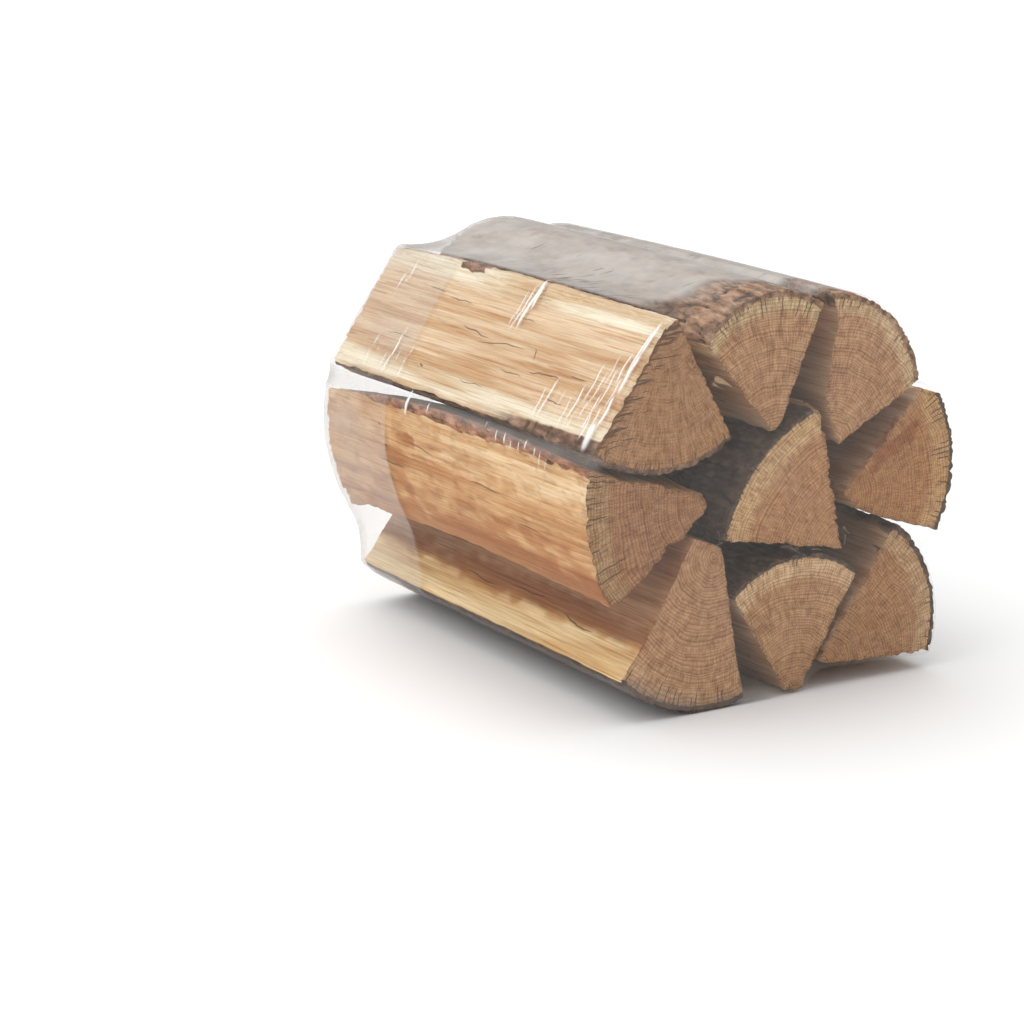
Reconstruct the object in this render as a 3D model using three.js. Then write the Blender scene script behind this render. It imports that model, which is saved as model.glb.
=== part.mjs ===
// A bundle of split firewood: nine wedge-shaped splits, held together by a bag of clear shrink film.
// Millimetres. +Z is up. The splits run along Y, and -Y is the front end, which the film closes. The film's
// back end is drawn in round an open ring. The origin is on the ground, under the middle of the bundle.
import * as THREE from "three";

// Driving dimensions
const LOG_LENGTH = 406; // firewood is cut to 16 inches
const STATIONS = 7; // cross-sections along each log
const FILM_GAP = 0.6; // between a log and the film's inner face
const FILM_THICKNESS = 1.2; // stands for film of 0.05 mm
const FILM_RIM = 3; // how far the film's edge is rounded at each end
const FILM_SAG_END = 1.35; // a bridge sags this much more at the ends, where the film is drawn in
const BRIDGE_POINTS = 3; // film points between two logs
const OPENING_RADIUS = 68; // of the ring that the film leaves open at the back

const HEARTWOOD = 0xc99a68;
const SAPWOOD = 0xdcb98a;
const FILM_COLOUR = 0xe8ecee;

// Each split is a wedge of a round log, in x to the right and z up, seen from the front. Its rounded side
// is an arc about the pith, from one angle in degrees to another, counterclockwise. Its corners go round
// the split faces, from the arc's end back to its start.
// far: how the back end differs from the front one: a shift in x and z, and a size.
// bow: how far the middle stands out of line. ends: how far each end is past the common length.
const SPLITS = [
  {
    name: "split_right",
    pith: [65, 167], radius: 110, from: -30, to: 32, steps: 6,
    corners: [[140, 231], [64, 156], [66, 151], [82, 139]],
    far: { shift: [-3, 0], size: 0.98 }, bow: [1.5, -0.5], ends: [-1.5, 2],
    colour: HEARTWOOD,
  },
  {
    name: "split_top_right",
    pith: [47, 224], radius: 90, from: 8, to: 90, steps: 8,
    corners: [[53, 298], [43, 232], [56, 192]],
    far: { shift: [3, 2], size: 0.97 }, bow: [0.5, 1.5], ends: [0, -2],
    colour: SAPWOOD,
  },
  {
    name: "split_top",
    pith: [-4, 237], radius: 83, from: 57, to: 143, steps: 8,
    corners: [[-5, 209], [4, 217]],
    far: { shift: [2, 5], size: 1.0 }, bow: [-1, 2], ends: [-0.5, 1],
    colour: SAPWOOD,
  },
  {
    name: "split_top_left",
    pith: [-105, 303], radius: 112, from: -125, to: -55, steps: 7,
    corners: [[-93, 307], [-101, 308]],
    far: { shift: [-2, 3], size: 0.97 }, bow: [0.5, 2.5], ends: [0, 2],
    colour: HEARTWOOD,
  },
  {
    name: "split_left",
    pith: [-12, 175], radius: 163, from: 170, to: 211, steps: 5,
    corners: [[-147, 90], [-107, 121], [-98, 132], [-82, 139], [-64, 157], [-60, 166], [-66, 173]],
    far: { shift: [-3, -6], size: 0.96 }, bow: [-1, 9], ends: [-1, 0],
    colour: HEARTWOOD,
  },
  {
    name: "split_bottom_left",
    pith: [-58, 120], radius: 119, from: 225, to: 285, steps: 8,
    corners: [[-49, 128], [-77, 140], [-112, 78]],
    far: { shift: [0, 0], size: 1 }, bow: [0, 0], ends: [0, -1],
    colour: HEARTWOOD,
  },
  {
    name: "split_bottom",
    pith: [24, 20], radius: 92, from: 50, to: 134, steps: 8,
    corners: [[14, 1], [30, 1]],
    far: { shift: [0, 0], size: 1 }, bow: [0, 0], ends: [-2, 1],
    colour: SAPWOOD,
  },
  {
    name: "split_bottom_right",
    pith: [61, 41], radius: 100, from: -17, to: 56, steps: 7,
    corners: [[44, 23], [51, 17]],
    far: { shift: [1, -3], size: 0.99 }, bow: [0, 2.5], ends: [-1, 2],
    colour: SAPWOOD,
  },
  {
    name: "split_centre",
    pith: [78, 102], radius: 132, from: 110, to: 167, steps: 6,
    corners: [[67, 109], [40, 228]],
    far: { shift: [0, 1], size: 0.98 }, bow: [0, 0], ends: [0, 0],
    colour: SAPWOOD,
  },
];

const radians = THREE.MathUtils.degToRad;

// The closed outline of a split's front end: the bark's arc, then the corners of its split faces.
function outlineOf(split) {
  const arc = [];
  for (let i = 0; i <= split.steps; i += 1) {
    const angle = radians(THREE.MathUtils.lerp(split.from, split.to, i / split.steps));
    arc.push(new THREE.Vector2(
      split.pith[0] + split.radius * Math.cos(angle),
      split.pith[1] + split.radius * Math.sin(angle),
    ));
  }
  return [...arc, ...split.corners.map(([x, z]) => new THREE.Vector2(x, z))];
}

// A split's outline at a share t of its length, with its taper, its shift and its bow.
function sectionOf(split, t) {
  const outline = outlineOf(split);
  const middle = outline.reduce((sum, p) => sum.add(p), new THREE.Vector2()).divideScalar(outline.length);
  const size = THREE.MathUtils.lerp(1, split.far.size, t);
  const bend = Math.sin(Math.PI * t);
  const shift = new THREE.Vector2(
    split.far.shift[0] * t + split.bow[0] * bend,
    split.far.shift[1] * t + split.bow[1] * bend,
  );
  return outline.map((p) => p.sub(middle).multiplyScalar(size).add(middle).add(shift));
}

function stationY(split, t) {
  const front = -LOG_LENGTH / 2 - split.ends[0];
  const back = LOG_LENGTH / 2 + split.ends[1];
  return THREE.MathUtils.lerp(front, back, t);
}

// Joins rings of points, each going counterclockwise seen from the front, into a skin.
function skinFaces(rings, ringSize) {
  const faces = [];
  for (let r = 0; r < rings - 1; r += 1) {
    const here = r * ringSize;
    const next = here + ringSize;
    for (let i = 0; i < ringSize; i += 1) {
      const j = (i + 1) % ringSize;
      faces.push(here + i, next + j, here + j, here + i, next + i, next + j);
    }
  }
  return faces;
}

function geometryOf(points, faces) {
  const geometry = new THREE.BufferGeometry();
  geometry.setAttribute("position", new THREE.Float32BufferAttribute(points.flat(), 3));
  geometry.setIndex(faces);
  geometry.computeVertexNormals();
  return geometry;
}

// A split as a loft of its sections, closed by its two sawn ends.
function splitGeometry(split) {
  const points = [];
  const size = outlineOf(split).length;
  for (let s = 0; s < STATIONS; s += 1) {
    const t = s / (STATIONS - 1);
    sectionOf(split, t).forEach((p) => points.push([p.x, stationY(split, t), p.y]));
  }
  const faces = skinFaces(STATIONS, size);
  const end = THREE.ShapeUtils.triangulateShape(sectionOf(split, 0), []);
  const back = (STATIONS - 1) * size;
  end.forEach(([a, b, c]) => faces.push(a, b, c));
  THREE.ShapeUtils.triangulateShape(sectionOf(split, 1), [])
    .forEach(([a, b, c]) => faces.push(back + a, back + c, back + b));
  return geometryOf(points, faces);
}

// Which points of each split's outline the film touches, in order round the bundle, and how deep the film
// sags, as a share of the bridge's width, on its way to the next one.
const FILM_PATH = [
  { split: "split_right", points: [0, 6], sag: 0.03 },
  { split: "split_top_right", points: [0, 8], sag: 0.05 },
  { split: "split_top", points: [0, 5], sag: 0.06 },
  { split: "split_top_left", points: [8, 9], sag: 0 },
  { split: "split_top_left", points: [0, 0], sag: 0.05 },
  { split: "split_left", points: [0, 5], sag: 0.07 },
  { split: "split_bottom_left", points: [0, 6], sag: 0 },
  { split: "split_bottom", points: [9, 10], sag: 0.1 },
  { split: "split_bottom_right", points: [9, 9], sag: 0 },
  { split: "split_bottom_right", points: [0, 5], sag: 0.1 },
];

// The closed line that the film follows at a share t of the length: on the logs, and sagging between them.
function filmLine(t) {
  const sections = new Map(SPLITS.map((split) => [split.name, sectionOf(split, t)]));
  const touched = FILM_PATH.map(({ split, points: [first, last] }) =>
    sections.get(split).slice(first, last + 1));
  const drawnIn = THREE.MathUtils.lerp(1, FILM_SAG_END, (2 * t - 1) ** 4);
  const line = [];
  FILM_PATH.forEach(({ sag }, i) => {
    const from = touched[i].at(-1);
    const to = touched[(i + 1) % touched.length][0];
    line.push(...touched[i]);
    const across = to.clone().sub(from);
    const inward = new THREE.Vector2(-across.y, across.x);
    for (let k = 1; k <= (sag ? BRIDGE_POINTS : 0); k += 1) {
      const u = k / (BRIDGE_POINTS + 1);
      const depth = 4 * u * (1 - u) * sag * drawnIn;
      line.push(from.clone().addScaledVector(across, u).addScaledVector(inward, depth));
    }
  });
  return line;
}

// A closed line moved outwards by a distance, each point along the middle of its two sides' normals.
function offsetLine(line, distance) {
  return line.map((p, i) => {
    const before = p.clone().sub(line.at(i - 1)).normalize();
    const after = line[(i + 1) % line.length].clone().sub(p).normalize();
    const normal = new THREE.Vector2(before.y + after.y, -before.x - after.x);
    const stretch = 2 / Math.max(normal.lengthSq(), 2);
    return p.clone().addScaledVector(normal, distance * stretch);
  });
}

function shrinkLine(line, share) {
  const middle = line.reduce((sum, p) => sum.add(p), new THREE.Vector2()).divideScalar(line.length);
  return line.map((p) => p.clone().sub(middle).multiplyScalar(share).add(middle));
}

// A closed line with its points moved onto the back ring.
function openingLine(line) {
  const middle = line.reduce((sum, p) => sum.add(p), new THREE.Vector2()).divideScalar(line.length);
  return line.map((p) => p.clone().sub(middle).setLength(OPENING_RADIUS).add(middle));
}

// One wall of the film: the front end from near its middle out to the rim, the length, and the back end in
// to the ring.
function filmWall(offset) {
  const front = -LOG_LENGTH / 2 - Math.max(...SPLITS.map((s) => s.ends[0])) - offset;
  const back = LOG_LENGTH / 2 + Math.max(...SPLITS.map((s) => s.ends[1])) + offset;
  const rounded = 1 - FILM_RIM / LOG_LENGTH;
  const walls = [];
  const addRing = (t, y, share) => {
    const line = shrinkLine(offsetLine(filmLine(t), offset), share);
    walls.push(line.map((p) => [p.x, y, p.y]));
  };
  [0.3, 0.65].forEach((share) => addRing(0, front, share));
  if (offset > FILM_GAP) addRing(0, front, rounded);
  else addRing(0, front, 1);
  for (let s = 0; s < STATIONS; s += 1) {
    const t = s / (STATIONS - 1);
    const y = THREE.MathUtils.lerp(front + FILM_RIM / 2, back - FILM_RIM / 2, t);
    addRing(t, y, 1);
  }
  if (offset > FILM_GAP) addRing(1, back, rounded);
  else addRing(1, back, 1);
  addRing(1, back, 0.7);
  walls.push(openingLine(offsetLine(filmLine(1), offset)).map((p) => [p.x, back, p.y]));
  return walls;
}

// The film as one closed shell: its outer wall, the back ring's edge, its inner wall, and a disc closing
// each wall at the front.
function filmGeometry() {
  const outer = filmWall(FILM_GAP + FILM_THICKNESS);
  const inner = filmWall(FILM_GAP);
  const ringSize = outer[0].length;
  const rings = [...outer, ...inner.reverse()];
  const points = rings.flat();
  const faces = skinFaces(rings.length, ringSize);
  const lastRing = (rings.length - 1) * ringSize;
  const disc = THREE.ShapeUtils.triangulateShape(outer[0].map(([x, , z]) => new THREE.Vector2(x, z)), []);
  disc.forEach(([a, b, c]) => {
    faces.push(a, b, c);
    faces.push(lastRing + a, lastRing + c, lastRing + b);
  });
  return geometryOf(points, faces);
}

const bundle = new THREE.Group();

SPLITS.forEach((split) => {
  const material = new THREE.MeshStandardMaterial({ color: split.colour, roughness: 0.8, metalness: 0 });
  const mesh = new THREE.Mesh(splitGeometry(split), material);
  mesh.name = split.name;
  bundle.add(mesh);
});

const film = new THREE.Mesh(
  filmGeometry(),
  new THREE.MeshStandardMaterial({
    color: FILM_COLOUR, roughness: 0.15, metalness: 0, transparent: true, opacity: 0.3,
  }),
);
film.name = "shrink_film";
bundle.add(film);

const extent = new THREE.Box3().setFromObject(bundle);
const middle = extent.getCenter(new THREE.Vector3());
bundle.position.set(-middle.x, -middle.y, -extent.min.z);

export default bundle;
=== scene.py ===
"""Looks for the firewood bundle: nine split logs in a bag of clear shrink film.

Each log is a fine mesh drawn from its CAD node's own cross-sections. Its bark, torn fibres and chipped edges
are cut in from there or stand up to PROUD above it, and a few faces bulge out further, to meet the film. The
film is a fine sheet drawn from the CAD film's outer wall, with its wrinkles. Loose splinters, which have no
CAD solid, lie between the front ends and the film. Metres, +Z up; the front ends face -Y.
"""

import math
from types import SimpleNamespace

import bpy
import numpy as np
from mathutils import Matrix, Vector


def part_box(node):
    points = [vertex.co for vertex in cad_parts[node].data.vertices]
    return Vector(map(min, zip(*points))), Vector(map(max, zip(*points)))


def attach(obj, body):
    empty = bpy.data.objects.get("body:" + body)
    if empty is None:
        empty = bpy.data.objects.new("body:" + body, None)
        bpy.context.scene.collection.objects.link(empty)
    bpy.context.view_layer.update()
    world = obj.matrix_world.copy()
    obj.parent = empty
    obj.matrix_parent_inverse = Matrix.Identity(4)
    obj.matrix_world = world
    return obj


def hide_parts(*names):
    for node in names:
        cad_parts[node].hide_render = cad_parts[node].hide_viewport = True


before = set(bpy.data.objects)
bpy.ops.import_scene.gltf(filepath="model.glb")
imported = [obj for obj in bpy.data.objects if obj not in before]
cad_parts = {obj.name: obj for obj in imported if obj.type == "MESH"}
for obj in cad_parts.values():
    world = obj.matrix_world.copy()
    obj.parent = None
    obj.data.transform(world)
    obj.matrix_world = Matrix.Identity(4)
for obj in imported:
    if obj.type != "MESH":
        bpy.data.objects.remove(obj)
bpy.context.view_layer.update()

MM = 0.001
OUTLINE_SHIFT = (0.7, 0.8)  # mm, from the outlines' x and z in part.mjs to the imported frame

# ---------------------------------------------------------------- noise


def _hash(ix, iy, iz, seed):
    h = (ix * 374761393 + iy * 668265263 + iz * 2147483647 + seed * 974711) & 0xFFFFFFFF
    h = ((h ^ (h >> 13)) * 1274126177) & 0xFFFFFFFF
    h = ((h ^ (h >> 16)) * 2246822519) & 0xFFFFFFFF
    return ((h ^ (h >> 15)) & 0xFFFFFF) / float(0xFFFFFF)


def noise3(x, y, z, seed):
    """Smooth value noise from -1 to 1, one cell per unit."""
    x, y, z = np.broadcast_arrays(x, y, z)
    cell = [np.floor(v).astype(np.int64) for v in (x, y, z)]
    part = [v - c for v, c in zip((x, y, z), cell)]
    ease = [p * p * (3 - 2 * p) for p in part]
    total = np.zeros(x.shape)
    for dx in (0, 1):
        wx = ease[0] if dx else 1 - ease[0]
        for dy in (0, 1):
            wy = ease[1] if dy else 1 - ease[1]
            for dz in (0, 1):
                wz = ease[2] if dz else 1 - ease[2]
                total += wx * wy * wz * _hash(cell[0] + dx, cell[1] + dy, cell[2] + dz, seed)
    return total * 2 - 1


def fbm(x, y, z, seed, octaves=3):
    """Noise from about -1 to 1 with finer and fainter layers on it."""
    total, size, reach = 0.0, 1.0, 0.0
    for i in range(octaves):
        k = 2.03**i
        total = total + size * noise3(x * k, y * k, z * k, seed + 17 * i)
        reach += size
        size *= 0.5
    return total / reach


def smooth(low, high, value):
    """0 up to low and 1 from high on, with a soft rise between; low may be the larger of the two."""
    t = np.clip((value - low) / (high - low), 0, 1)
    return t * t * (3 - 2 * t)


# ---------------------------------------------------------------- sections of the CAD nodes


def cut(node, y):
    """The segments, in x and z, where a CAD node's mesh crosses the plane at y."""
    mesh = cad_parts[node].data
    mesh.calc_loop_triangles()
    points = np.array([v.co for v in mesh.vertices])
    faces = np.array([t.vertices for t in mesh.loop_triangles])
    corners = points[faces]
    side = corners[:, :, 1] - y
    segments = []
    for tri, d in zip(corners, side):
        if d.min() >= 0 or d.max() < 0:
            continue
        ends = []
        for i in range(3):
            j = (i + 1) % 3
            if (d[i] < 0) != (d[j] < 0):
                share = d[i] / (d[i] - d[j])
                p = tri[i] + share * (tri[j] - tri[i])
                ends.append((p[0], p[2]))
        if len(ends) == 2:
            segments.append(ends)
    return np.array(segments)


def outline(node, y, centre, rays):
    """The node's outer outline at y, as one point for each ray about centre."""
    segments = cut(node, y)
    a = segments[:, 0] - centre
    b = segments[:, 1] - centre
    edge = b - a
    c, s = np.cos(rays)[:, None], np.sin(rays)[:, None]
    bottom = c * edge[None, :, 1] - s * edge[None, :, 0]
    bottom = np.where(np.abs(bottom) < 1e-12, 1e-12, bottom)
    far = (a[None, :, 0] * edge[None, :, 1] - a[None, :, 1] * edge[None, :, 0]) / bottom
    along = (a[None, :, 0] * s - a[None, :, 1] * c) / bottom
    hit = (along >= -1e-6) & (along <= 1 + 1e-6) & (far > 0)
    reach = np.where(hit, far, 0).max(axis=1)
    return np.stack([centre[0] + reach * np.cos(rays), centre[1] + reach * np.sin(rays)], axis=1)


def even(points, count):
    """A closed line as count points spaced evenly along it, from the same first point."""
    closed = np.vstack([points, points[:1]])
    steps = np.linalg.norm(np.diff(closed, axis=0), axis=1)
    length = np.concatenate([[0], np.cumsum(steps)])
    want = np.linspace(0, length[-1], count, endpoint=False)
    line = np.stack([np.interp(want, length, closed[:, k]) for k in (0, 1)], axis=1)
    return line, length[-1]


def outward(line):
    """The outward unit normals of a closed counterclockwise line."""
    along = np.roll(line, -1, axis=0) - np.roll(line, 1, axis=0)
    along /= np.linalg.norm(along, axis=1)[:, None]
    return np.stack([along[:, 1], -along[:, 0]], axis=1)


def rows_between(lines, ys, rows_y):
    """The outlines at rows_y, blended from the ones that were cut at ys."""
    last = len(ys) - 1
    at = np.clip(np.interp(rows_y, ys, np.arange(len(ys))), 0, last - 1e-9)
    first = at.astype(int)
    share = (at - first)[:, None, None]
    return lines[first] * (1 - share) + lines[first + 1] * share


def make_mesh(name, points, quads, tris, layers):
    mesh = bpy.data.meshes.new(name)
    faces = [tuple(map(int, q)) for q in quads] + [tuple(map(int, t)) for t in tris]
    mesh.from_pydata([tuple(p) for p in points], [], faces)
    mesh.update()
    for layer, values in layers.items():
        attribute = mesh.attributes.new(layer, "FLOAT", "POINT")
        attribute.data.foreach_set("value", np.asarray(values, dtype=np.float32))
    piece = bpy.data.objects.new(name, mesh)
    bpy.context.collection.objects.link(piece)
    return piece


def grid_quads(rows, around):
    """The faces of a tube of rows of points, facing outwards."""
    ids = np.arange(rows * around).reshape(rows, around)
    return ring_quads(ids)[:, ::-1]


def ring_quads(ids, flip=False):
    """The faces between rings of points, each ring being one row of ids."""
    nxt = np.roll(ids, -1, axis=1)
    corners = [ids[:-1], nxt[:-1], nxt[1:], ids[1:]]
    if flip:
        corners = [corners[0], *corners[:0:-1]]
    return np.stack(corners, axis=2).reshape(-1, 4)


def as_points(across, rows_y):
    """Rows of x and z, each row at its own y, as points in space."""
    y = np.broadcast_to(rows_y[:, None], across.shape[:2])
    return np.stack([across[:, :, 0], y, across[:, :, 1]], axis=2)


# ---------------------------------------------------------------- the logs

AROUND = 220
ALONG = 140
END_RINGS = 14
DEEP_INSIDE = 60.0  # mm from its rim that a sawn end's middle counts as
STATIONS = 7
INSET = 1e-5  # the first and last sections are cut this far inside the CAD ends
PROUD = 0.8  # mm that the highest fibres and bark stand out from the CAD surface
GROUND_GAP = 0.9  # mm that the lowest wood keeps off the ground, where the film runs under it
RAYS = np.linspace(-math.pi, math.pi, 1440, endpoint=False)

# Four tones of bark, from its deepest pits to its ridges.
DARK_BARK = [(0.045, 0.027, 0.018), (0.085, 0.050, 0.032), (0.14, 0.082, 0.052), (0.20, 0.14, 0.10)]
MID_BARK = [(0.06, 0.032, 0.020), (0.15, 0.080, 0.048), (0.28, 0.155, 0.092), (0.38, 0.26, 0.18)]
TAN_BARK = [(0.10, 0.050, 0.026), (0.27, 0.145, 0.080), (0.44, 0.265, 0.160), (0.54, 0.40, 0.29)]
RED_BARK = [(0.10, 0.040, 0.020), (0.28, 0.115, 0.055), (0.45, 0.21, 0.11), (0.56, 0.35, 0.22)]

# pith, radius: of the round log that the split came from, in mm, as in part.mjs.
# arc: its bark's angles in degrees; thick, cover: the bark's thickness in mm and how much of the arc has it.
# rings: the centre that the growth rings curve about; ring: their spacing in mm; ring_show: how clear.
# heart: the heartwood's reach, as a share of the radius. band: the heartwood as a band along a face instead,
# by the x and z of its middle and its half width.
# ragged: how torn the edges are; checks: how long the radial cracks on the ends are; relief: how deep the
# split faces' waves and splinters are; cracks: how many cracks they have, where marks doesn't place them.
# sap, core, end_sap, end_core: the colours of sapwood and heartwood on the split faces and on the ends.
# scraps: bits of bark on a split edge: x, z, share of the length, reach along it, reach across it.
# stains: darker spots, or paler ones below 0: x, z, share of the length, reach along, reach across, strength.
# The left log's broad dark one along its lower face is painted shade and warm bounce light, not a stain.
# proud: where a face stands out further than elsewhere: x, z, share, reach across it, reach along it, height.
# marks: cracks on the side: y, z, length, half width, lean.
# hatch: the sawn edge, from x, z to x, z, along which the end's fibres are chipped.
LOGS = {
    "split_top_left": dict(
        pith=(-105, 303), radius=112, arc=(-125.6, -55), thick=2.6, cover=0.9, bark=MID_BARK, seed=3,
        rings=(-105, 303), ring=2.5, ring_show=0.45, heart=0.9, band=(-131.0, 262.0, 37.0),
        ragged=0.9, checks=0.5, relief=0.8,
        sap=(0.80, 0.72, 0.56), core=(0.72, 0.555, 0.375),
        end_sap=(0.53, 0.29, 0.13), end_core=(0.535, 0.30, 0.148),
        scraps=[(-99, 309, 0.68, 20, 8)], hatch=(-101, 308, -169, 211),
        marks=[
            (-20, 262, 90, 0.40, -0.04), (22, 266, 60, 0.42, 0.05), (-95, 251, 56, 0.55, -0.03),
            (-52, 246, 44, 0.36, 0.02), (-70, 262, 9, 0.7, 0.9), (-125, 238, 34, 0.40, 0.03),
            (64, 283, 50, 0.36, 0.04), (108, 286, 34, 0.5, 0.0), (70, 233, 6, 1.0, 0.5),
            (-34, 282, 40, 0.32, 0.03), (125, 248, 54, 0.34, -0.02), (-10, 232, 50, 0.32, 0.02),
            (-138, 256, 34, 0.36, -0.02),
        ],
    ),
    "split_left": dict(
        pith=(-12, 175), radius=163, arc=(170, 211), thick=1.2, cover=0.12, bark=RED_BARK, seed=11,
        rings=(-12, 175), ring=2.7, heart=0.87, ragged=1.0, checks=1.3, relief=1.5,
        sap=(0.655, 0.395, 0.185), core=(0.53, 0.30, 0.13),
        end_sap=(0.555, 0.345, 0.168), end_core=(0.51, 0.26, 0.115),
        proud=(-105, 183, 0.88, 45, 80, 4.5),
        scraps=[(-171, 205, 0.2, 110, 6.5), (-172, 204, 0.75, 130, 7.5)],
        # Its broad dark stain at -158, 92 is painted shade and warm bounce light on the lower face; the pale
        # one at z 189 makes the upper part of the face paler and greyer.
        stains_and_shade=[
            (-175, 189, 0.3, 420, 30, -0.85), (-175, 176, 0.66, 30, 12, 0.9), (-175, 150, 0.70, 24, 26, 0.7),
            (-158, 92, 0.45, 400, 70, 1.0), (-170, 140, 0.15, 90, 12, 0.6),
        ],
        marks=[
            (40, 172, 50, 0.6, 0.06), (-60, 160, 60, 0.6, -0.05),
            (90, 150, 60, 0.8, 0.04), (-120, 140, 40, 0.6, 0.06),
        ],
    ),
    "split_bottom_left": dict(
        pith=(-58, 120), radius=119, arc=(226, 285), thick=1.6, cover=1.0, seed=19,
        rings=(-58, 120), ring=2.7, heart=0.76, ragged=0.4, checks=0.7, relief=1.3,
        sap=(0.85, 0.66, 0.37), core=(0.43, 0.235, 0.115),
        end_sap=(0.70, 0.435, 0.235), end_core=(0.67, 0.39, 0.203),
        proud=(-60, 0, 0.0, 50, 90, 2.2),
        stains_and_shade=[(-121, 64, 0.3, 420, 17, 1.0)],
        marks=[(-120, 58, 60, 0.6, 0.05), (-40, 64, 70, 0.6, -0.04), (30, 60, 60, 0.6, 0.03)],
    ),
    "split_centre": dict(
        pith=(78, 102), radius=132, arc=(110, 167), thick=1.8, cover=0.95, seed=23,
        rings=(84, 96), ring=2.6, heart=0.82, ragged=1.6, checks=0.3, cracks=0.4, relief=1.2,
        sap=(0.62, 0.46, 0.29), core=(0.50, 0.33, 0.20),
        end_sap=(0.785, 0.53, 0.275), end_core=(0.63, 0.345, 0.158),
    ),
    "split_bottom": dict(
        pith=(24, 20), radius=92, arc=(50, 134), thick=2.2, cover=0.9, seed=31,
        rings=(22, -6), ring=2.4, heart=0.78, ragged=0.8, checks=0.5, cracks=0.3, relief=1.0,
        end_sap=(0.86, 0.60, 0.345), end_core=(0.67, 0.39, 0.187),
    ),
    "split_bottom_right": dict(
        pith=(61, 41), radius=100, arc=(-17, 56), thick=2.2, cover=0.9, seed=37,
        rings=(44, 14), ring=2.4, heart=0.8, ragged=1.2, checks=0.4, cracks=0.3, relief=1.0,
        end_sap=(0.70, 0.47, 0.25), end_core=(0.565, 0.305, 0.138),
        proud=(118, 123, 0.5, 26, 900, 1.8),
    ),
    "split_right": dict(
        pith=(65, 167), radius=110, arc=(-30, 32), thick=2.4, cover=0.9, seed=41,
        rings=(56, 150), ring=2.3, heart=0.8, ragged=1.2, checks=1.2, cracks=0.3, relief=1.0,
        end_sap=(0.72, 0.44, 0.192), end_core=(0.56, 0.28, 0.107),
        proud=(120, 126, 0.5, 30, 900, 1.4),
        stains_and_shade=[(118, 190, 0.0, 8, 34, 0.9), (96, 172, 0.0, 8, 24, 0.7)],
    ),
    "split_top_right": dict(
        pith=(47, 224), radius=90, arc=(8, 90), thick=3.0, cover=1.0, bark=TAN_BARK, seed=47,
        rings=(46, 190), ring=2.3, heart=0.82, ragged=0.8, checks=0.5, cracks=0.3, relief=1.0,
        end_sap=(0.77, 0.555, 0.325), end_core=(0.635, 0.36, 0.182),
    ),
    "split_top": dict(
        pith=(-4, 237), radius=83, arc=(57, 143), thick=3.0, cover=1.0, bark=TAN_BARK, seed=53,
        rings=(-2, 190), ring=2.4, heart=0.8, ragged=0.8, checks=0.8, cracks=0.3, relief=1.0,
        end_sap=(0.73, 0.545, 0.31), end_core=(0.635, 0.373, 0.19),
    ),
}
# What a log has where its entry doesn't say otherwise.
USUAL = dict(
    bark=DARK_BARK, ring_show=0.95, sap=(0.60, 0.44, 0.28), core=(0.46, 0.29, 0.17), stains_and_shade=(), scraps=()
)


def pith_of(spec):
    return np.array([spec["pith"][0] + OUTLINE_SHIFT[0], spec["pith"][1] + OUTLINE_SHIFT[1]]) * MM


def arris_distance(line, length):
    """How far each point of a closed line is from the nearest sharp corner, along the line."""
    count = len(line)
    span = 3
    before = line - np.roll(line, span, axis=0)
    after = np.roll(line, -span, axis=0) - line
    cross = before[:, 0] * after[:, 1] - before[:, 1] * after[:, 0]
    turn = np.abs(np.arctan2(cross, (before * after).sum(axis=1)))
    sharp = np.where(turn > math.radians(32))[0]
    gap = np.abs(np.arange(count)[:, None] - sharp[None, :])
    gap = np.minimum(gap, count - gap).min(axis=1)
    return gap * length / count


def log_side(node, spec):
    """A log's plain side, as rows of points from its CAD sections, with where each point lies in the log."""
    low, high = (np.array(v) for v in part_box(node))
    centre = (low + high)[[0, 2]] / 2
    ys = np.linspace(low[1] + INSET, high[1] - INSET, STATIONS)
    sections = [even(outline(node, y, centre, RAYS), AROUND) for y in ys]
    lines = np.array([line for line, _ in sections])
    length = sections[-1][1]
    # Rows lie closer together towards the two ends, where the torn fibres are.
    t = np.linspace(0, 1, ALONG)
    towards_front = t - 0.5 + 0.5 * np.cos(math.pi * t)
    t = t - 0.06 * np.sin(4 * math.pi * t) / (2 * math.pi) - 0.5 * towards_front * 0.25
    t = (t - t[0]) / (t[-1] - t[0])
    rows_y = low[1] + (high[1] - low[1]) * t
    base = rows_between(lines, ys, rows_y)
    inward = centre - base
    inward /= np.linalg.norm(inward, axis=2)[:, :, None]
    normal = outward(lines[STATIONS // 2])[None]

    radius = spec["radius"] * MM
    away = base - pith_of(spec)
    angle = np.degrees(np.arctan2(away[:, :, 1], away[:, :, 0]))
    middle = sum(spec["arc"]) / 2
    half = (spec["arc"][1] - spec["arc"][0]) / 2
    off = np.abs((angle - middle + 180) % 360 - 180)
    round_share = np.linalg.norm(away, axis=2) / radius
    return SimpleNamespace(
        low_y=low[1],
        high_y=high[1],
        centre=centre,
        rows_y=rows_y,
        base=base,
        inward=inward,
        slope=np.clip(-(inward * normal).sum(axis=2), 0.5, 1.0),
        arris=arris_distance(lines[0], length)[None],
        on_arc=smooth(half + 0.9, half - 0.6, off) * smooth(0.86, 0.92, round_share),
        round_arc=np.radians(angle) * radius / MM,
        x=base[:, :, 0] / MM,
        y=np.broadcast_to(rows_y[:, None], angle.shape) / MM,
        z=base[:, :, 1] / MM,
    )


def from_share(side, share):
    """How far behind a share of the log's length each point is, in mm."""
    return side.y - (side.low_y + share * (side.high_y - side.low_y)) / MM


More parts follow.
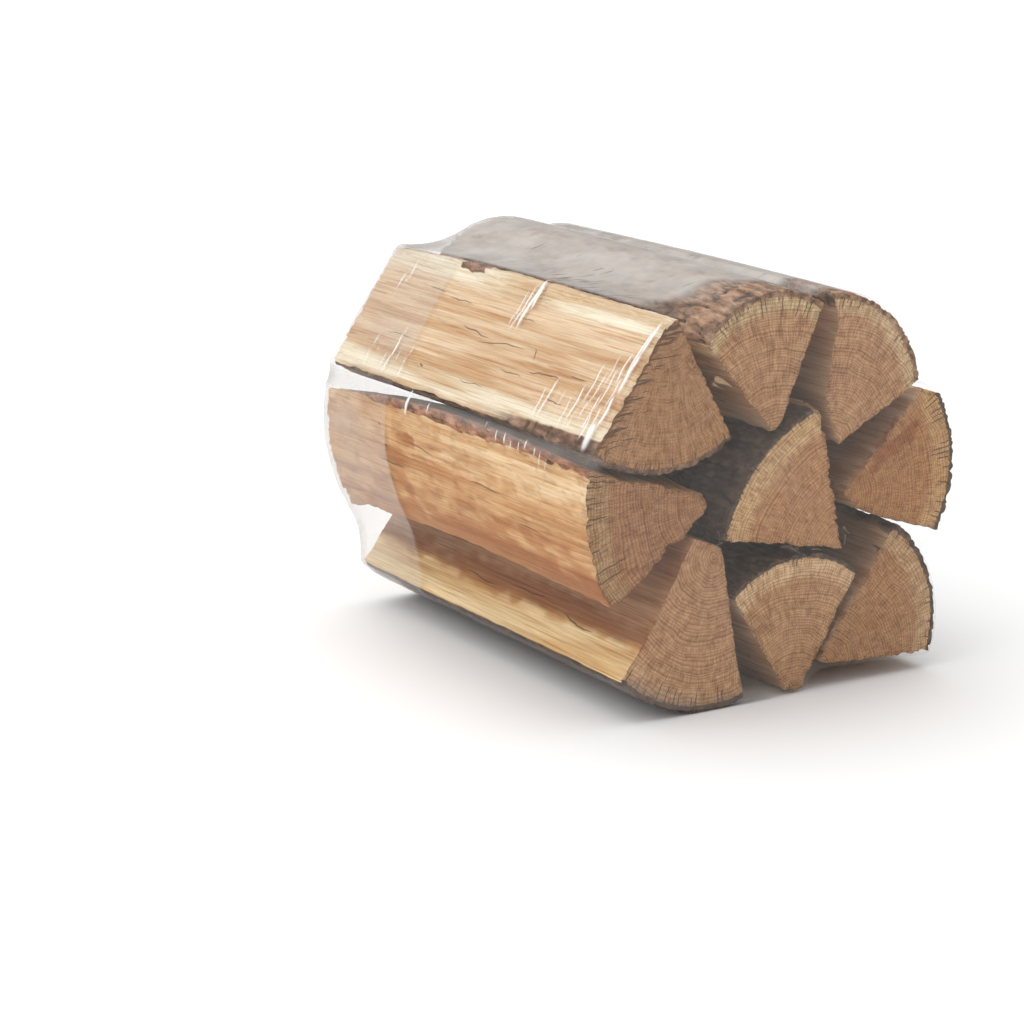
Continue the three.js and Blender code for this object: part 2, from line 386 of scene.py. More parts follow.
def bark_patches(side, spec):
    """Where bark covers the side, from 0 to 1, and the noise that its bare patches follow."""
    x, y, z, seed = side.x, side.y, side.z, spec["seed"]
    patches = fbm(x / 26, y / 60, z / 26, seed + 1, 3) * 0.5 + 0.5
    bark = side.on_arc * smooth(spec["cover"] + 0.05, spec["cover"] - 0.05, patches)
    for spot_x, spot_z, share, reach_along, reach_across in spec["scraps"]:
        across = np.hypot(x - spot_x - OUTLINE_SHIFT[0], z - spot_z - OUTLINE_SHIFT[1])
        across = across + 4.0 * fbm(x / 9, y / 22, z / 9, seed + 14, 3)
        along = np.abs(from_share(side, share)) + 6 * noise3(x / 5, y / 12, z / 5, seed + 15)
        scrap = smooth(reach_across, reach_across * 0.75, across)
        bark = np.maximum(bark, scrap * smooth(reach_along, reach_along * 0.9, along))
    return bark, patches


# Darker or paler spots on the split faces: stains, and on the left log's lower face painted shade and bounce
# light.
def side_stain_and_shade(side, spec):
    x, y, z = side.x, side.y, side.z
    stain_and_shade = np.zeros(x.shape)
    for spot_x, spot_z, share, reach_along, reach_across, strength in spec["stains_and_shade"]:
        across = np.hypot(x - spot_x, z - spot_z) / reach_across
        along = np.abs(from_share(side, share)) / reach_along
        spread = np.hypot(across, along) + 0.5 * fbm(x / 8, y / 14, z / 8, spec["seed"] + 16, 2)
        spot = strength * smooth(1.0, 0.3, spread)
        stain_and_shade = np.where(np.abs(spot) > np.abs(stain_and_shade), spot, stain_and_shade)
    return stain_and_shade


def end_stain(spec, x, z):
    """The stains again on the sawn ends, slanting, for logs at the right of the bundle."""
    stain_and_shade = np.zeros(x.shape)
    ragged = fbm(x / 9, z / 9, 0, spec["seed"] + 21, 2)
    for spot_x, spot_z, _, _, reach, strength in spec["stains_and_shade"]:
        across = (z - spot_z) - 0.5 * (x - spot_x)
        far = np.hypot((x - spot_x) / reach, across / (0.25 * reach)) + 0.6 * ragged
        stain_and_shade = np.maximum(stain_and_shade, strength * smooth(1.0, 0.3, far) * (x > 60))
    return stain_and_shade


def split_relief(side, spec):
    """How deep a split face is cut, in mm: long waves, stepped splinters and fine fibres."""
    x, y, z, seed = side.x, side.y, side.z, spec["seed"]
    wave = 0.5 + 0.5 * noise3(x / 34, y / 110, z / 34, seed + 2)
    steps = fbm(x / 9, y / 120, z / 9, seed + 3, 2) * 2.6
    stepped = np.floor(steps) + smooth(0.55, 0.95, steps - np.floor(steps))
    stepped = (stepped - stepped.min()) / max(np.ptp(stepped), 1e-9)
    fibre = 0.5 + 0.5 * noise3(x / 3.8, y / 55, z / 3.8, seed + 4)
    return spec["relief"] * (0.9 * wave + 1.0 * stepped + 0.6 * fibre)


def bark_relief(side, spec, patches):
    """The bark's crevices, from 0 to 1, and how deep it is cut, in mm: long ridges with cross cracks."""
    round_arc, y, seed = side.round_arc, side.y, spec["seed"]
    warp = 3.0 * noise3(round_arc / 14, y / 30, 0, seed + 5)
    ridge = 1 - np.abs(fbm((round_arc + warp) / 5.5, y / 26, 0, seed + 6, 3))
    cross = 1 - np.abs(noise3(round_arc / 20, (y + 2 * warp + 0.35 * round_arc) / 8, 0, seed + 7))
    crevice = smooth(0.76, 1.0, ridge) * 0.7 + smooth(0.88, 0.99, cross) * 0.6 * patches
    rough = 0.35 * (0.5 + 0.5 * noise3(round_arc / 5, y / 10, 0, seed + 8))
    return crevice, spec["thick"] * 0.75 * crevice + rough


def edge_relief(side, spec, bark):
    """How much deeper a log is cut along its arrises and towards its two ends, in mm."""
    x, y, z, seed, ragged = side.x, side.y, side.z, spec["seed"], spec["ragged"]
    chips = np.clip(fbm(x / 6, y / 16, z / 6, seed + 9, 3) + 0.25, 0, 1)
    depth = 3.0 * ragged * chips * np.exp(-(side.arris / (3.2 * MM)))
    to_end = np.minimum(side.rows_y - side.low_y, side.high_y - side.rows_y)[:, None] / MM
    nick = np.clip(fbm(x / 4, y / 20, z / 4, seed + 10, 2) + 0.1, 0, 1)
    depth = depth + 2.6 * ragged * nick * np.exp(-to_end / 9)
    lump = np.clip(fbm(x / 7, y / 40, z / 7, seed + 19, 2) + 0.1, 0, 1)
    depth = depth + 2.0 * ragged * lump * (1 - bark)
    return depth + 0.5 * np.exp(-to_end / 0.9)


def end_rings(rim, hub, sign, seed):
    """A sawn end as rings running in to the middle, with faint saw marks, and each one's share of the way."""
    shares = np.linspace(0, 1, END_RINGS + 1)[1:-1] ** 0.9
    rings = hub + (rim[None] - hub) * (1 - shares)[:, None, None]
    x, z = rings[:, :, 0] / MM, rings[:, :, 2] / MM
    bend = 3 * noise3(x / 60, z / 60, 0, seed + 12)
    saw = 0.5 + 0.5 * np.sin((x * 0.35 + z + 0.004 * x * x) / 2.3 + bend)
    rough = 0.22 * saw + 0.5 * (0.5 + 0.5 * fbm(x / 11, z / 11, 0, seed + 13, 3))
    rings[:, :, 1] += sign * rough * MM * smooth(0, 0.06, shares)[:, None]
    return rings, shares


def build_log(node, spec):
    side = log_side(node, spec)
    bark, patches = bark_patches(side, spec)
    split = split_relief(side, spec)
    crevice, barky = bark_relief(side, spec, patches)
    bare = spec["thick"] * 0.7 + 0.75 * split
    on_face = split * (1 - bark) + bark * 0.4 * barky
    on_arc = bark * barky + (1 - bark) * bare
    depth = (1 - side.on_arc) * on_face + side.on_arc * on_arc + edge_relief(side, spec, bark)
    if "proud" in spec:
        spot_x, spot_z, share, reach_across, reach_along, height = spec["proud"]
        across = np.hypot(side.x - spot_x, side.z - spot_z) / reach_across
        depth = depth - height * np.exp(-(across**2) - (from_share(side, share) / reach_along) ** 2)
    # Moved towards the middle, so that no corner folds over.
    points = side.base + side.inward * ((depth - PROUD) * MM / side.slope)[:, :, None]
    points[:, :, 1] = np.maximum(points[:, :, 1], GROUND_GAP * MM)

    verts = as_points(points, side.rows_y)
    # The depth that the material darkens: the bark's crevices and the split faces' hollows, where it paints
    # shade.
    pit = np.where(side.on_arc > 0.5, crevice, (split - split.min()) / 4)
    all_points, quads, tris = [verts.reshape(-1, 3)], [grid_quads(ALONG, AROUND)], []
    layers = {
        "bark": [bark.ravel()],
        "pit": [np.clip(pit, 0, 1).ravel()],
        "stain_and_shade": [side_stain_and_shade(side, spec).ravel()],
        "edge": [np.zeros(ALONG * AROUND)],
    }
    count = ALONG * AROUND
    for end, sign in ((0, 1), (ALONG - 1, -1)):
        rim = verts[end]
        hub = np.array([side.centre[0], side.rows_y[end], side.centre[1]])
        rings, shares = end_rings(rim, hub, sign, spec["seed"])
        all_points += [rings.reshape(-1, 3), hub[None]]
        inside = np.linalg.norm(rim - hub, axis=1)[None] * shares[:, None] / MM
        stain_and_shade = end_stain(spec, rings[:, :, 0] / MM, rings[:, :, 2] / MM)
        around = np.arange(AROUND)[None]
        ids = np.vstack([end * AROUND + around, count + np.arange(inside.size).reshape(-1, AROUND)])
        count += inside.size + 1
        layers["bark"].append(np.zeros(inside.size + 1))
        layers["pit"].append(np.zeros(inside.size + 1))
        layers["stain_and_shade"].append(np.append(stain_and_shade.ravel(), 0.0))
        layers["edge"].append(np.append(inside.ravel(), DEEP_INSIDE))
        faces = ring_quads(ids, flip=True)
        fan = np.stack([ids[-1], np.full(AROUND, count - 1), np.roll(ids[-1], -1)], axis=1)
        quads.append(faces[:, ::-1] if sign > 0 else faces)
        tris.append(fan[:, ::-1] if sign > 0 else fan)
    layers = {name: np.concatenate(values) for name, values in layers.items()}
    piece = make_mesh(node + "_wood", np.vstack(all_points), np.vstack(quads), np.vstack(tris), layers)
    piece.data.shade_smooth()
    sharpen_rims(piece.data)
    return piece


def sharpen_rims(mesh):
    """Marks the edges round the two sawn ends as sharp."""
    pairs = np.zeros(len(mesh.edges) * 2, dtype=np.int32)
    mesh.edges.foreach_get("vertices", pairs)
    pairs = pairs.reshape(-1, 2)
    front = (pairs < AROUND).all(axis=1)
    back = ((pairs >= (ALONG - 1) * AROUND) & (pairs < ALONG * AROUND)).all(axis=1)
    attribute = mesh.attributes.new("sharp_edge", "BOOLEAN", "EDGE")
    attribute.data.foreach_set("value", front | back)


# ---------------------------------------------------------------- materials


class Value:
    """A node's output as a number: +, -, *, / and abs() add the math node that works them out."""

    def __init__(self, nodes, socket):
        self.nodes, self.socket = nodes, socket

    def __add__(self, other):
        return self.nodes.math("ADD", self, other)

    def __radd__(self, other):
        return self.nodes.math("ADD", other, self)

    def __sub__(self, other):
        return self.nodes.math("SUBTRACT", self, other)

    def __rsub__(self, other):
        return self.nodes.math("SUBTRACT", other, self)

    def __mul__(self, other):
        return self.nodes.math("MULTIPLY", self, other)

    def __truediv__(self, other):
        return self.nodes.math("DIVIDE", self, other)

    def __abs__(self):
        return self.nodes.math("ABSOLUTE", self)


class Nodes:
    """Builds a material's nodes. A value may be a Value, a socket, a number or a tuple."""

    def __init__(self, name):
        self.material = bpy.data.materials.new(name)
        self.material.use_nodes = True
        self.tree = self.material.node_tree
        self.tree.nodes.clear()

    def add(self, kind, **settings):
        node = self.tree.nodes.new(kind)
        for key, value in settings.items():
            setattr(node, key, value)
        return node

    def put(self, socket, value):
        if isinstance(value, Value):
            value = value.socket
        if isinstance(value, bpy.types.NodeSocket):
            self.tree.links.new(value, socket)
        elif value is not None:
            if isinstance(value, tuple) and len(value) == 3 and socket.type == "RGBA":
                value = (*value, 1)
            socket.default_value = value

    def fill(self, kind, values, **settings):
        """Adds a node, fills its inputs by name, or in order from a tuple, and gives the node back."""
        node = self.add(kind, **settings)
        for key, value in values.items() if isinstance(values, dict) else enumerate(values):
            self.put(node.inputs[key], value)
        return node

    def math(self, kind, *values, clamp=False):
        node = self.fill("ShaderNodeMath", values, operation=kind, use_clamp=clamp)
        return Value(self, node.outputs[0])

    def larger(self, a, b):
        return self.math("MAXIMUM", a, b)

    def length(self, a, b):
        return self.math("SQRT", a * a + b * b)

    def place(self):
        """Where the shaded point is on its object, in mm."""
        metres = self.add("ShaderNodeTexCoord").outputs["Object"]
        values = {"Vector": metres, "Scale": 1 / MM}
        return self.fill("ShaderNodeVectorMath", values, operation="SCALE").outputs["Vector"]

    def vector(self, kind, a, b):
        return self.fill("ShaderNodeVectorMath", (a, b), operation=kind).outputs["Vector"]

    def split(self, vector):
        return [Value(self, out) for out in self.fill("ShaderNodeSeparateXYZ", (vector,)).outputs]

    def join(self, x, y, z):
        return self.fill("ShaderNodeCombineXYZ", (x, y, z)).outputs[0]

    def noise(self, vector, scale=1.0, detail=2.0, rough=0.5):
        values = {"Vector": vector, "Scale": scale, "Detail": detail, "Roughness": rough}
        return Value(self, self.fill("ShaderNodeTexNoise", values).outputs["Fac"])

    def grain(self, place, scale, detail=2.0, rough=0.5):
        """Noise with its own scale, in cells a mm, along x, y and z."""
        return self.noise(self.vector("MULTIPLY", place, scale), 1.0, detail, rough)

    def cells(self, vector):
        node = self.fill("ShaderNodeTexVoronoi", {"Vector": vector, "Scale": 1.0})
        return Value(self, node.outputs["Distance"])

    def chance(self, value):
        node = self.fill("ShaderNodeTexWhiteNoise", {"W": value}, noise_dimensions="1D")
        return Value(self, node.outputs["Value"])

    def step(self, value, low, high, out_low=0.0, out_high=1.0):
        values = {"Value": value, "From Min": low, "From Max": high, "To Min": out_low, "To Max": out_high}
        node = self.fill("ShaderNodeMapRange", values, interpolation_type="SMOOTHSTEP")
        return Value(self, node.outputs[0])

    def ramp(self, value, stops):
        node = self.fill("ShaderNodeValToRGB", (value,))
        bands = node.color_ramp.elements
        while len(bands) < len(stops):
            bands.new(0.5)
        for band, (place, colour) in zip(bands, stops):
            band.position = place
            band.color = (*colour, 1)
        return node.outputs["Color"]

    def mix(self, share, a, b, blend="MIX"):
        values = {"Factor": share, 6: a, 7: b}
        return self.fill("ShaderNodeMix", values, data_type="RGBA", blend_type=blend).outputs[2]

    def tinted(self, colour, *tints):
        """A colour multiplied by each tint in turn, by that tint's share."""
        for share, tint in tints:
            colour = self.mix(share, colour, self.mix(1.0, colour, tint, "MULTIPLY"))
        return colour

    def layer(self, name):
        return Value(self, self.add("ShaderNodeAttribute", attribute_name=name).outputs["Fac"])

    def bump(self, height, distance, strength):
        values = {"Height": height, "Distance": distance, "Strength": strength}
        return self.fill("ShaderNodeBump", values).outputs[0]

    def blend(self, share, a, b):
        """One shader over another."""
        return self.fill("ShaderNodeMixShader", (share, a, b)).outputs[0]

    def principled(self, **values):
        """A principled shader; an underscore in a name stands for a space."""
        values = {name.replace("_", " "): value for name, value in values.items()}
        return self.fill("ShaderNodeBsdfPrincipled", values).outputs[0]

    def finish(self, shader):
        out = self.add("ShaderNodeOutputMaterial")
        self.tree.links.new(shader, out.inputs["Surface"])
        return self.material


SEED_STEP = 61.0  # mm along the log between the stretches of noise that two seeds show
CRACK = (0.12, 0.055, 0.024)
# The colour of the bark's deepest crevices: their own dark fissures with painted shade in them.
CREVICE = (0.03, 0.017, 0.011)
BARK_STOPS = (0.30, 0.47, 0.60, 0.76)


def log_place(n, spec):
    """Where a shaded point lies in the log, in mm: plain, about the rings' centre and about the pith."""
    place = n.vector("ADD", n.place(), (0.0, spec["seed"] * SEED_STEP, 0.0))
    x, y, z = n.split(place)
    drift = (n.grain(place, (0.022, 0.0062, 0.022)) - 0.5) * 15.0
    rings = np.array(spec["rings"]) + OUTLINE_SHIFT
    ring_x = x - float(rings[0]) + drift
    ring_z = z - float(rings[1]) + drift * 0.6
    pith = pith_of(spec) / MM
    pith_x = x - float(pith[0])
    pith_z = z - float(pith[1])
    facing = abs(n.split(n.add("ShaderNodeNewGeometry").outputs["Normal"])[1])
    end = n.step(facing, 0.45, 0.75)
    return SimpleNamespace(
        place=place,
        x=x,
        y=y,
        z=z,
        ring_reach=n.length(ring_x, ring_z),
        ring_turn=n.math("ARCTAN2", ring_z, ring_x),
        reach=n.length(pith_x, pith_z),
        turn=n.math("ARCTAN2", pith_z, pith_x),
        radius=float(spec["radius"]),
        seed=float(spec["seed"]),
        end=end,
        side=1.0 - end,
    )


def log_patterns(n, at, spec):
    """The late wood of the growth rings, and the rays, fibres and blotches that cross it, from 0 to 1."""
    waves = n.join(at.ring_turn * 3.0, at.ring_reach * 0.05, at.seed)
    width = n.noise(n.join(at.ring_reach * 0.11, at.seed, 0.0))
    count = at.ring_reach / spec["ring"]
    count = count + n.noise(waves, 1.0, 3.0) * 1.6
    count = count + width * 3.0
    phase = n.math("FRACT", count)
    late = n.step(phase, 0.35, 0.86) * n.step(phase, 0.995, 0.93)
    mood = 0.5 + n.chance(n.math("FLOOR", count)) * 0.5
    rays = n.join(at.ring_turn * (at.radius * 1.1), at.ring_reach * 0.09, at.y * 0.02)
    return SimpleNamespace(
        late=late * mood,
        ray=n.noise(rays, 1.0, 3.0, 0.6),
        fibre=n.grain(at.place, (0.85, 0.016, 0.85), 4.0, 0.62),
        strand=n.grain(at.place, (0.16, 0.0055, 0.16), 3.0, 0.6),
        grit=n.grain(at.place, (1.4, 1.4, 1.4), 3.0, 0.65),
        cloud=n.grain(at.place, (0.03, 0.012, 0.03), 3.0, 0.55),
        rag=n.grain(at.place, (0.55, 0.2, 0.55), 2.0, 0.6),
    )


def side_colour(n, at, show, spec):
    """The split faces: heartwood and sapwood, streaked along the grain."""
    if "band" in spec:
        band_x, band_z, half = spec["band"]
        far = n.length(at.x - band_x, at.z - band_z)
        far = far + (show.strand - 0.5) * 14.0
        sap = n.step(far, half - 3.0, half + 4.0)
    else:
        far = at.reach + (show.cloud - 0.5) * 16.0
        heart = at.radius * spec["heart"]
        sap = n.step(far, heart - 4.0, heart + 5.0)
    figure = n.grain(at.place, (0.075, 0.0035, 0.075), 2.0, 0.45)
    vein = n.grain(at.place, (0.42, 0.0085, 0.42))
    streak = n.step(show.strand, 0.38, 0.66) * n.math("MULTIPLY_ADD", sap, -0.3, 0.5)
    return n.tinted(
        n.mix(sap, spec["core"], spec["sap"]),
        (n.step(figure, 0.47, 0.60, 0.0, 0.9), (0.80, 0.66, 0.52)),
        (n.step(figure, 0.47, 0.36, 0.0, 0.7), (1.08, 1.12, 1.16)),
        (streak, (0.80, 0.62, 0.46)),
        (n.step(vein, 0.54, 0.66, 0.0, 0.7), (0.78, 0.60, 0.44)),
        (n.step(vein, 0.46, 0.30, 0.0, 0.3), (1.12, 1.16, 1.22)),
        (show.late * 0.22, (0.78, 0.62, 0.46)),
        (n.step(show.fibre, 0.40, 0.66, 0.0, 0.45), (0.72, 0.58, 0.46)),
        (n.step(show.fibre, 0.62, 0.30, 0.0, 0.35), (1.14, 1.14, 1.10)),
    )


def end_colour(n, at, show, spec):
    """The sawn ends: heartwood and sapwood, with growth rings, rays and a rough saw's blotches."""
    heart = at.radius * min(spec["heart"], 0.86)
    far = at.reach + (show.cloud - 0.5) * 10.0
    mottle = n.grain(at.place, (0.14, 0.05, 0.14), 4.0, 0.65)
    fleck = n.grain(at.place, (0.42, 0.1, 0.42), 3.0, 0.7)
    return n.tinted(
        n.mix(n.step(far, heart - 3.0, heart + 4.0), spec["end_core"], spec["end_sap"]),
        (show.late * spec["ring_show"], (0.60, 0.49, 0.41)),
        (n.step(show.ray, 0.42, 0.66, 0.0, 0.9), (0.66, 0.57, 0.49)),
        (n.step(show.ray, 0.52, 0.34, 0.0, 0.6), (1.16, 1.18, 1.18)),
        (n.step(show.grit, 0.30, 0.62, 0.55, 0.0), (0.60, 0.53, 0.47)),
        (n.step(show.cloud, 0.35, 0.7, 0.0, 0.5), (0.88, 0.82, 0.80)),
        (n.step(mottle, 0.47, 0.64, 0.0, 0.9), (0.76, 0.67, 0.59)),
        (n.step(mottle, 0.47, 0.33, 0.0, 0.9), (1.13, 1.17, 1.20)),
        (n.step(fleck, 0.60, 0.68, 0.0, 0.55), (0.50, 0.38, 0.28)),
    )


def end_checks(n, at, spec):
    """Short radial cracks in from the bark on the ends."""
    kink = n.noise(n.join(at.reach * 0.22, at.turn * 4.0, at.seed))
    slot = at.turn * (at.radius / 4.4) + kink * 0.7
    centre = abs(n.math("FRACT", slot) - 0.5)
    luck = n.chance(n.math("FLOOR", slot) + at.seed * 3.1)
    long = luck * luck * (24.0 * spec["checks"])
    start = at.radius - 2.0 - long
    check = n.step(centre, 0.16, 0.07) * n.step(at.reach, start, start + 3.0)
    return check * n.step(luck, 0.28, 0.34) * at.end


def side_cracks(n, at, spec):
    """Fine cracks along the split faces: those in marks, or some of the places where the grain opens."""
    if "marks" not in spec:
        grain = n.grain(at.place, (0.085, 0.0035, 0.085), 1.5, 0.4)
        where = n.grain(at.place, (0.045, 0.016, 0.045))
        crack = n.step(abs(grain - 0.5), 0.0075, 0.002)
        crack = crack * n.step(where, 0.60 - 0.05 * spec["cracks"], 0.66)
        return crack * at.side
    shake = (n.grain(at.place, (0.012, 0.028, 0.012), 3.0) - 0.5) * 8.0
    cracks = 0.0
    for mark_y, mark_z, long, half, lean in spec["marks"]:
        along = at.y - (at.seed * SEED_STEP + mark_y)
        off = at.z - (mark_z + OUTLINE_SHIFT[1])
        off = off + n.math("MULTIPLY_ADD", along, -lean, shake)
        taper = n.step(abs(along), long / 2, long / 8, 0.0, half)
        crack = n.step(abs(off) - taper, 0.12, -0.30)
        cracks = n.larger(cracks, crack * n.step(taper, 0.0, 0.2, 0.0, 0.85))
    return cracks * at.side


def chipped_edge(n, at, show, spec):
    """Chipped fibres, and a torn line, along the sawn edge of one face."""
    from_x, from_z, to_x, to_z = spec["hatch"]
    long = math.hypot(to_x - from_x, to_z - from_z)
    unit_x, unit_z = (to_x - from_x) / long, (to_z - from_z) / long
    x = at.x - (from_x + OUTLINE_SHIFT[0])
    z = at.z - (from_z + OUTLINE_SHIFT[1])
    along = x * unit_x + z * unit_z
    inner = abs(z * -unit_x - x * -unit_z)
    slant = n.math("MULTIPLY_ADD", inner, 0.35, along * 0.42)
    chip = n.noise(n.join(slant, inner * 0.06, at.seed), 1.0, 1.0)
    chip = chip - inner * 0.009
    chip = n.step(chip - along * 0.0006, 0.42, 0.47)
    torn = n.step(inner + show.rag * 5.0, 7.6, 5.4) * 0.62
    return n.larger(chip, torn) * at.end


def dark_marks(n, at, show, spec):
    """Everything dark in the wood, from 0 to 1: cracks, pores and the ends' torn edges."""
    pore = n.step(n.cells(n.vector("MULTIPLY", at.place, (0.035, 0.02, 0.035))), 0.05, 0.03)
    limit = n.layer("edge") * 0.035 + 0.50
    nick = n.step(show.rag - limit, 0.0, 0.05) * at.end
    dark = n.larger(end_checks(n, at, spec), side_cracks(n, at, spec))
    dark = n.larger(dark, pore * at.side * 0.9)
    dark = n.larger(dark, nick * 0.75)
    if "hatch" in spec:
        dark = n.larger(dark, chipped_edge(n, at, show, spec))
    return dark


def bark_cover(n, at, spec):
    """Where bark shows: over the arc, and as a thin rim round the ends."""
    torn = (n.noise(at.place, 0.3, 3.0) - 0.5) * 4.5
    wood = at.radius - spec["thick"]
    rim = n.step(at.reach + torn, wood - 2.6, wood - 1.6)
    rim = rim * at.end * min(1.0, spec["cover"] + 0.1)
    return n.larger(n.step(n.layer("bark"), 0.25, 0.6) * at.side, rim)


def wood_material(node, spec):
    n = Nodes(node + "_wood")
    at = log_place(n, spec)
    show = log_patterns(n, at, spec)
    dark = dark_marks(n, at, show, spec)
    # Stains darken and warm the wood, as do the shade and bounce light painted on the left log's lower face;
    # below 0 it turns paler and greyer.
    stain_and_shade = n.layer("stain_and_shade")
    wood = n.tinted(
        n.mix(at.end, side_colour(n, at, show, spec), end_colour(n, at, show, spec)),
        (n.step(stain_and_shade, 0.0, 1.0, 0.0, 0.85), (0.68, 0.46, 0.28)),
        (n.step(stain_and_shade, 0.0, -1.0, 0.0, 0.9), (1.26, 1.58, 2.10)),
    )
    wood = n.mix(dark * 0.86, wood, CRACK)

    bark = bark_cover(n, at, spec)
    scaly = n.grain(at.place, (0.16, 0.06, 0.16), 3.0, 0.62)
    pit = n.layer("pit")
    bark_colour = n.ramp(scaly, list(zip(BARK_STOPS, spec["bark"])))
    # Near black in the bark's crevices, by their depth: darker fissures, with painted shade in them.
    bark_colour = n.mix(n.step(pit, 0.25, 0.85, 0.0, 0.85), bark_colour, CREVICE)
    colour = n.mix(bark, wood, bark_colour)
    # Painted shade in the split faces' hollows, darker the deeper they lie.
    hollow_shade = n.step(pit, 0.2, 0.9, 0.0, 0.30) * (1.0 - bark)
    colour = n.mix(hollow_shade, colour, (0.20, 0.11, 0.055))

    height = show.fibre * at.side
    for pattern, amount in ((show.grit, 0.5), (show.late, 0.35), (show.ray, 0.5)):
        height = height + pattern * at.end * amount
    height = height - dark * 1.6
    height = height + scaly * bark * 1.4
    shader = n.principled(
        Base_Color=colour,
        Roughness=n.step(show.fibre, 0.2, 0.8, 0.62, 0.86),
        Specular_IOR_Level=0.3,
        Normal=n.bump(height, 0.0009, 0.75),
    )
    return n.finish(shader)


for node, entry in LOGS.items():
    spec = {**USUAL, **entry}
    log = build_log(node, spec)
    log.data.materials.append(wood_material(node, spec))
    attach(log, "root")
    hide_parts(node)

# ---------------------------------------------------------------- the film

FILM_AROUND = 330
FILM_ROWS = 232
FILM_STATIONS = 9
CAP_RINGS = 16
MIDDLE = np.array([0.0, 0.16])  # the x and z of the axis that the film's angles turn about
RIM_CURVE = 5.0  # mm, the radius that the film's two rims are rounded by
OPENING = 68 * MM
OVERLAP = 0.73  # the film is two layers thick from this share of the length to the back end

# Tension wrinkles that run round the film: the angle about the bundle's axis where each is centred, in
# degrees from +X, the share of the length, half its reach in degrees, its half width and height in mm, how
# far it leans along the logs in mm per degree, and how strong a painted white highlight it carries.
WRINKLES = [
    (134, 0.026, 9, 2.0, 1.3, 0.10, 0.8),
    (139, 0.044, 7, 1.3, 1.0, 0.14, 0.75),
    (145, 0.060, 10, 1.0, 0.9, 0.16, 0.75),
    (151, 0.026, 7, 1.8, 1.3, 0.05, 0.85),
    (154, 0.046, 6, 1.2, 1.0, 0.08, 0.7),
    (148, 0.088, 11, 1.2, 0.9, 0.22, 0.7),
    (152, 0.070, 8, 1.1, 0.9, 0.10, 0.8),
    (158, 0.032, 6, 5.0, 1.2, 0.0, 0.72),
    (140, 0.021, 9, 2.3, 1.2, 0.07, 0.78),
    (155, 0.110, 6, 0.9, 0.7, 0.12, 0.6),
    (152, 0.175, 5, 0.9, 0.7, 0.15, 0.6),
    (154, 0.195, 5, 0.8, 0.6, 0.15, 0.5),
    (130, 0.420, 11, 2.0, 1.4, 0.25, 1.0),
    (132, 0.436, 10, 1.2, 0.9, 0.25, 0.9),
    (130, 0.016, 7, 1.6, 1.2, 0.08, 0.8),
    (141, 0.076, 9, 0.8, 0.7, 0.20, 0.7),
    (146, 0.038, 8, 1.0, 0.9, 0.14, 0.7),
    (145, 0.105, 10, 1.0, 0.8, 0.22, 0.8),
    (151, 0.125, 8, 1.0, 0.8, 0.20, 0.9),
    (154, 0.145, 7, 0.9, 0.7, 0.16, 0.7),
    (156, 0.062, 6, 1.2, 1.0, 0.10, 0.7),
    (152, 0.215, 9, 1.0, 0.8, 0.18, 0.9),
    (154, 0.232, 7, 0.9, 0.7, 0.18, 0.8),
    (128, 0.408, 6, 1.3, 0.9, 0.25, 0.9),
    (132, 0.450, 9, 1.0, 0.7, 0.25, 0.8),
    (155, 0.720, 8, 1.1, 0.8, 0.12, 0.8),
    (153, 0.780, 11, 1.1, 0.8, 0.12, 0.9),
    (155, 0.865, 8, 1.0, 0.7, 0.10, 0.7),
    (134, 0.900, 8, 1.1, 0.7, 0.12, 0.7),
    (131, 0.880, 8, 1.0, 0.7, 0.12, 0.7),
    (166, 0.225, 3, 0.8, 0.8, 0.30, 0.8),
    (167, 0.150, 3, 0.9, 0.8, 0.28, 0.8),
    (168, 0.130, 3, 0.8, 0.8, 0.28, 0.7),
    (165, 0.300, 3, 0.8, 0.8, 0.30, 0.7),
    (164, 0.350, 3, 0.8, 0.8, 0.30, 0.6),
    (165, 0.560, 3, 1.0, 0.8, 0.30, 0.8),
    (175, 0.700, 6, 0.8, 0.6, 0.12, 0.5),
    (178, 0.620, 6, 0.8, 0.6, 0.12, 0.5),
    (157, 0.800, 5, 0.9, 0.8, 0.10, 0.7),
    (156, 0.840, 6, 0.9, 0.8, 0.10, 0.6),
    (154, 0.760, 5, 0.8, 0.7, 0.10, 0.6),
    (165, 0.640, 5, 1.8, 1.2, 0.3, 1.0),
    (166, 0.480, 2, 0.9, 0.8, 0.2, 0.6),
    (165, 0.270, 2.4, 1.0, 0.9, 0.3, 0.8),
    (166, 0.250, 2, 1.0, 0.9, 0.3, 0.8),
    (165, 0.200, 2.2, 1.0, 0.9, 0.3, 0.8),
    (166, 0.170, 2, 0.9, 0.9, 0.3, 0.8),
]


def film_profile(y):
    """The CAD film's outline at y, with its sharpest bends eased."""
    rays = np.linspace(-math.pi, math.pi, 1800, endpoint=False)
    away = outline("shrink_film", y, MIDDLE, rays) - MIDDLE
    reach = np.linalg.norm(away, axis=1)
    half = 9
    kernel = np.exp(-0.5 * (np.arange(-half, half + 1) / 3.0) ** 2)
    kernel /= kernel.sum()
    padded = np.concatenate([reach[-half:], reach, reach[:half]])
    soft = np.convolve(padded, kernel, mode="valid")
    return MIDDLE + away * (soft / reach)[:, None]


def film_rows():
    """Shares of the length for the film's rows, closer together at the ends and where wrinkles are."""
    fine = np.linspace(0, 1, 4000)
    weight = 1 + 5 * np.exp(-fine / 0.06) + 2 * np.exp(-(1 - fine) / 0.03)
    for _, at, *_ in WRINKLES:
        weight = weight + 2.2 * np.exp(-(((fine - at) / 0.012) ** 2))
    total = np.cumsum(weight)
    return np.interp(np.linspace(total[0], total[-1], FILM_ROWS), total, fine)


